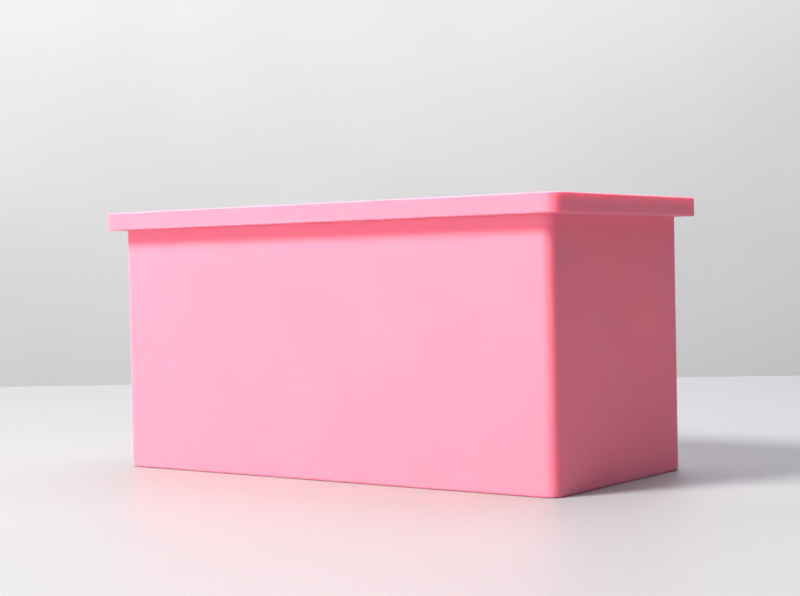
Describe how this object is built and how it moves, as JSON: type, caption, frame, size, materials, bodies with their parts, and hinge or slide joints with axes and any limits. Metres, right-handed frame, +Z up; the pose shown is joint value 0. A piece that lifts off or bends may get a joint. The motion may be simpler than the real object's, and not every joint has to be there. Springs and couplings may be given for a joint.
{
  "type": "soap loaf mould",
  "caption": "Open-topped rectangular loaf mould in thick flexible silicone, with a flat overhanging rim held straight by a steel rod frame inside it.",
  "frame": {"origin": "centre of the underside, on the surface the mould stands on", "axes": "+X along the length of the loaf, +Y across it towards the long side where the frame's ends meet, +Z up out of the open top"},
  "size_m": [0.2, 0.097, 0.096],
  "materials": {
    "silicone": "soft satin, slightly translucent pink silicone",
    "steel_rod": "drawn bright stainless rod",
    "steel_sleeve": "turned stainless tube, crimped"
  },
  "bodies": {
    "root": {"silicone_tub": "silicone", "rim_frame": "steel_rod", "frame_sleeve": "steel_sleeve"}
  },
  "joints": []
}
